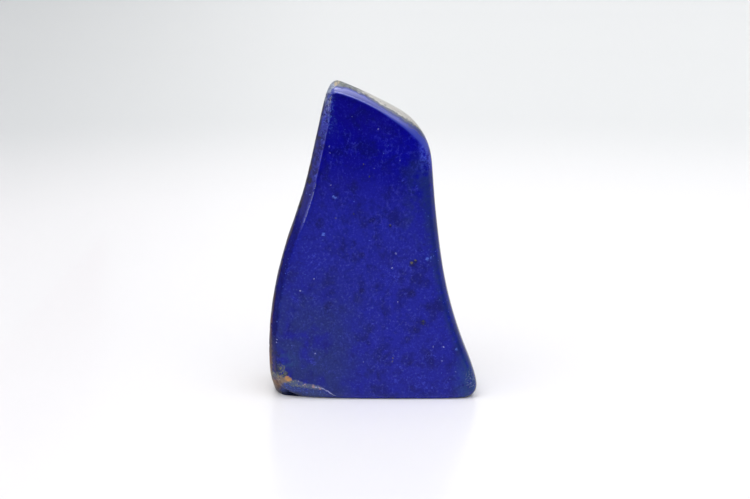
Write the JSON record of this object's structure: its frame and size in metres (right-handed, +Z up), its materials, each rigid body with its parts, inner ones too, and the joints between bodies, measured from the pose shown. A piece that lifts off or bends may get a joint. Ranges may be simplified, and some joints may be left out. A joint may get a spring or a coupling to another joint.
{
  "type": "polished lapis lazuli freeform",
  "caption": "Polished freestanding lapis lazuli stone: a tall slab with a slanted top, bevelled edges, a hollow right side and a flat ground foot.",
  "frame": {"origin": "middle of the stone's box, on the surface that it stands on", "axes": "+Z up, +Y towards the back, the wide polished front faces -Y"},
  "size_m": [0.0592, 0.0276, 0.0892],
  "materials": {
    "lapis": "polished"
  },
  "bodies": {
    "root": {"stone": "lapis"}
  },
  "joints": []
}
